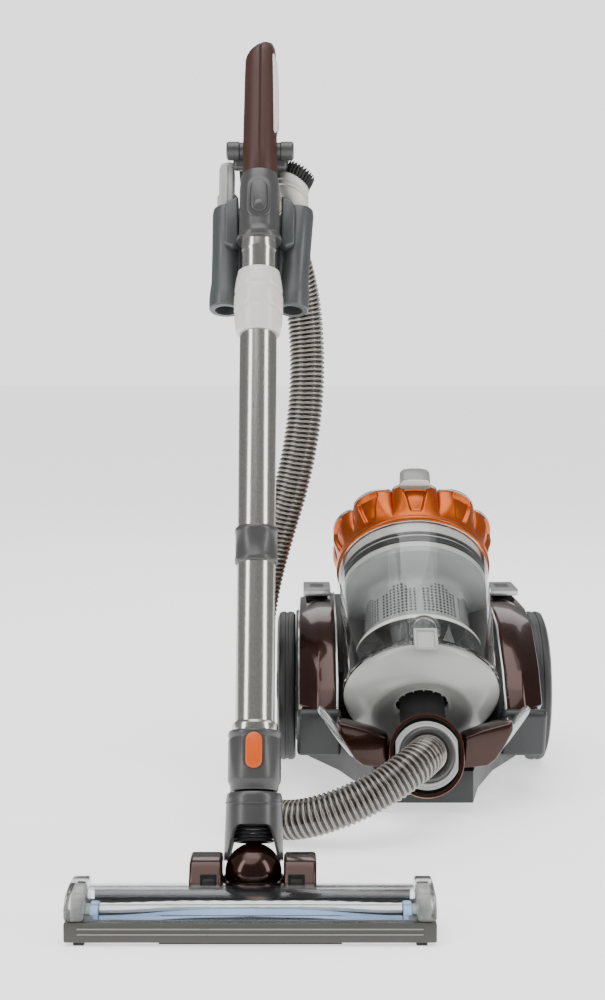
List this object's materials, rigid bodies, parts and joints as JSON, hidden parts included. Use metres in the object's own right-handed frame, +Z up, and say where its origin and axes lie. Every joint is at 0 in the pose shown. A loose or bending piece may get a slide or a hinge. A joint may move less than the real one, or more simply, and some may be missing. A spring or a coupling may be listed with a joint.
{
  "type": "canister vacuum cleaner",
  "caption": "Canister vacuum cleaner with a lift-off clear dirt bin, big rear wheels, telescopic steel wand, hose, clip-on tools and a hard floor brush head.",
  "frame": {"origin": "on the floor below the middle of the canister, wand and floor head together", "axes": "+Z up, -Y is the front that the canister and the floor head face, +X to the right seen from the front, so the wand stands at -X and the canister at +X"},
  "size_m": [0.477, 0.757, 0.7934],
  "materials": {
    "dark_casing": "moulded, fine grain",
    "brown_gloss": "metallic gloss",
    "orange_gloss": "metallic gloss",
    "light_grey": "satin",
    "mid_grey": "satin",
    "silver": "silver metallic",
    "clear": "clear moulded",
    "tyre_rubber": "ribbed",
    "black_rubber": "matte",
    "steel": "polished tube",
    "pin_steel": "turned",
    "white_plastic": "satin",
    "orange_button": "gloss",
    "smoke_hose": "translucent ribbed",
    "spring_steel": "wire",
    "winding": "wound"
  },
  "bodies": {
    "canister": {"base_pan": "dark_casing", "pan_screws": "pin_steel", "left_shell": "brown_gloss", "right_shell": "brown_gloss", "rear_cover": "dark_casing", "cord_outlet": "black_rubber", "side_trims": "silver", "pedal_springs": "spring_steel", "motor_housing": "mid_grey", "wheel_axles": "pin_steel", "front_bezel": "brown_gloss", "inlet_port": "mid_grey", "inlet_duct": "mid_grey", "bin_cradle": "dark_casing", "outer_tube": "steel", "tube_collar": "mid_grey", "neck_coupling": "mid_grey", "hose": "smoke_hose"},
    "left_wheel": {"left_tyre": "tyre_rubber", "left_hub": "mid_grey"},
    "right_wheel": {"right_tyre": "tyre_rubber", "right_hub": "mid_grey"},
    "caster": {"caster_fork": "mid_grey"},
    "caster_wheel": {"caster_wheel": "tyre_rubber"},
    "power_pedal": {"power_pedal": "silver"},
    "reel_pedal": {"reel_pedal": "silver"},
    "motor_rotor": {"motor_rotor": "winding"},
    "cord_reel": {"cord_reel": "mid_grey"},
    "dirt_bin": {"bin_cup": "clear", "bin_gasket": "black_rubber", "shroud": "light_grey", "cyclone_cone": "light_grey"},
    "bin_crown": {"crown": "orange_gloss", "crown_trim": "silver", "bin_handle": "light_grey"},
    "bin_button": {"bin_button": "light_grey"},
    "bin_door": {"bin_door": "light_grey"},
    "bin_latch": {"bin_latch": "light_grey"},
    "hose_cuff": {"hose_cuff": "mid_grey"},
    "upper_wand": {"inner_tube": "steel", "handle_body": "mid_grey", "handle_grip": "brown_gloss", "hose_connector": "mid_grey", "tool_holder": "mid_grey"},
    "lock_sleeve": {"lock_sleeve": "white_plastic"},
    "handle_button": {"handle_button": "mid_grey"},
    "crevice_tool": {"crevice_tool": "white_plastic"},
    "dusting_brush": {"dusting_brush": "white_plastic"},
    "head_button": {"head_button": "orange_button"},
    "neck": {"neck_fork": "mid_grey", "neck_bellows": "black_rubber"},
    "floor_head": {"head_base": "dark_casing", "head_bumper": "dark_casing", "head_window": "clear", "head_caps": "mid_grey", "wheel_housings": "brown_gloss", "neck_ball": "brown_gloss"},
    "brush_roll": {"brush_roll": "white_plastic"},
    "left_head_wheel": {"left_head_wheel": "tyre_rubber"},
    "right_head_wheel": {"right_head_wheel": "tyre_rubber"}
  },
  "joints": [
    {"name": "left_wheel_roll", "type": "hinge", "parent": "canister", "child": "left_wheel", "pos_m": [-0.0645, 0.2285, 0.087], "axis": [1, 0, 0], "continuous": true},
    {"name": "right_wheel_roll", "type": "hinge", "parent": "canister", "child": "right_wheel", "pos_m": [0.2255, 0.2285, 0.087], "axis": [1, 0, 0], "continuous": true},
    {"name": "caster_swivel", "type": "hinge", "parent": "canister", "child": "caster", "pos_m": [0.0805, 0.0675, 0.03], "axis": [0, 0, 1], "continuous": true},
    {"name": "caster_roll", "type": "hinge", "parent": "caster", "child": "caster_wheel", "pos_m": [0.0805, 0.0845, 0.015], "axis": [1, 0, 0], "continuous": true},
    {"name": "power_press", "type": "slide", "parent": "canister", "child": "power_pedal", "axis": [0, 0, -1], "range_m": [0, 0.004], "stiffness_N_per_m": 500, "springref_m": -0.006, "deforming": ["pedal_springs"]},
    {"name": "reel_press", "type": "slide", "parent": "canister", "child": "reel_pedal", "axis": [0, 0, -1], "range_m": [0, 0.004], "stiffness_N_per_m": 500, "springref_m": -0.006},
    {"name": "rotor_spin", "type": "hinge", "parent": "canister", "child": "motor_rotor", "pos_m": [0.05, 0.2645, 0.08], "axis": [1, 0, 0], "continuous": true},
    {"name": "reel_spin", "type": "hinge", "parent": "canister", "child": "cord_reel", "pos_m": [0.13, 0.2775, 0.084], "axis": [1, 0, 0], "continuous": true},
    {"name": "bin_lift", "type": "slide", "parent": "canister", "child": "dirt_bin", "axis": [0, 0.766, 0.6428], "range_m": [0, 0.16]},
    {"name": "crown_twist", "type": "hinge", "parent": "dirt_bin", "child": "bin_crown", "pos_m": [0.0805, 0.20571, 0.24356], "axis": [0, 0.766, 0.6428], "range_deg": [0, 30]},
    {"name": "bin_button_press", "type": "slide", "parent": "bin_crown", "child": "bin_button", "axis": [0, -0.766, -0.6428], "range_m": [0, 0.0018], "stiffness_N_per_m": 600, "springref_m": -0.003},
    {"name": "door_hinge", "type": "hinge", "parent": "dirt_bin", "child": "bin_door", "pos_m": [0.0805, 0.10605, 0.04963], "axis": [1, 0, 0], "range_deg": [0, 10]},
    {"name": "latch_flip", "type": "hinge", "parent": "dirt_bin", "child": "bin_latch", "pos_m": [0.0805, 0.00513, 0.19013], "axis": [-1, 0, 0], "range_deg": [0, 12], "stiffness_Nm_per_rad": 0.4, "springref_deg": -11.46},
    {"name": "cuff_turn", "type": "hinge", "parent": "canister", "child": "hose_cuff", "pos_m": [0.0805, -0.0275, 0.067], "axis": [0, -0.9397, 0.342], "continuous": true},
    {"name": "wand_extend", "type": "slide", "parent": "canister", "child": "upper_wand", "axis": [0, 0.3746, 0.9272], "range_m": [0, 0.28], "deforming": ["hose"]},
    {"name": "sleeve_release", "type": "slide", "parent": "canister", "child": "lock_sleeve", "axis": [0, -0.3746, -0.9272], "range_m": [0, 0.008], "stiffness_N_per_m": 400, "springref_m": -0.006},
    {"name": "handle_release", "type": "slide", "parent": "upper_wand", "child": "handle_button", "axis": [0, 0.9272, -0.3746], "range_m": [0, 0.002], "stiffness_N_per_m": 600, "springref_m": -0.003},
    {"name": "crevice_pull", "type": "slide", "parent": "upper_wand", "child": "crevice_tool", "axis": [0, 0.3746, 0.9272], "range_m": [0, 0.1]},
    {"name": "brush_pull", "type": "slide", "parent": "upper_wand", "child": "dusting_brush", "axis": [0.0698, 0.3737, 0.9249], "range_m": [0, 0.1]},
    {"name": "head_release", "type": "slide", "parent": "canister", "child": "head_button", "axis": [0, 0.9272, -0.3746], "range_m": [0, 0.002], "stiffness_N_per_m": 600, "springref_m": -0.003},
    {"name": "neck_swivel", "type": "hinge", "parent": "canister", "child": "neck", "pos_m": [-0.0885, -0.2885, 0.032], "axis": [0, 0.3746, 0.9272], "range_deg": [-40, 40]},
    {"name": "head_tilt", "type": "hinge", "parent": "neck", "child": "floor_head", "pos_m": [-0.0885, -0.2885, 0.032], "axis": [1, 0, 0], "range_deg": [-22, 45]},
    {"name": "roll_spin", "type": "hinge", "parent": "floor_head", "child": "brush_roll", "pos_m": [-0.0885, -0.3505, 0.015], "axis": [1, 0, 0], "continuous": true},
    {"name": "left_head_wheel_roll", "type": "hinge", "parent": "floor_head", "child": "left_head_wheel", "pos_m": [-0.1285, -0.2805, 0.018], "axis": [1, 0, 0], "continuous": true},
    {"name": "right_head_wheel_roll", "type": "hinge", "parent": "floor_head", "child": "right_head_wheel", "pos_m": [-0.0485, -0.2805, 0.018], "axis": [1, 0, 0], "continuous": true}
  ]
}
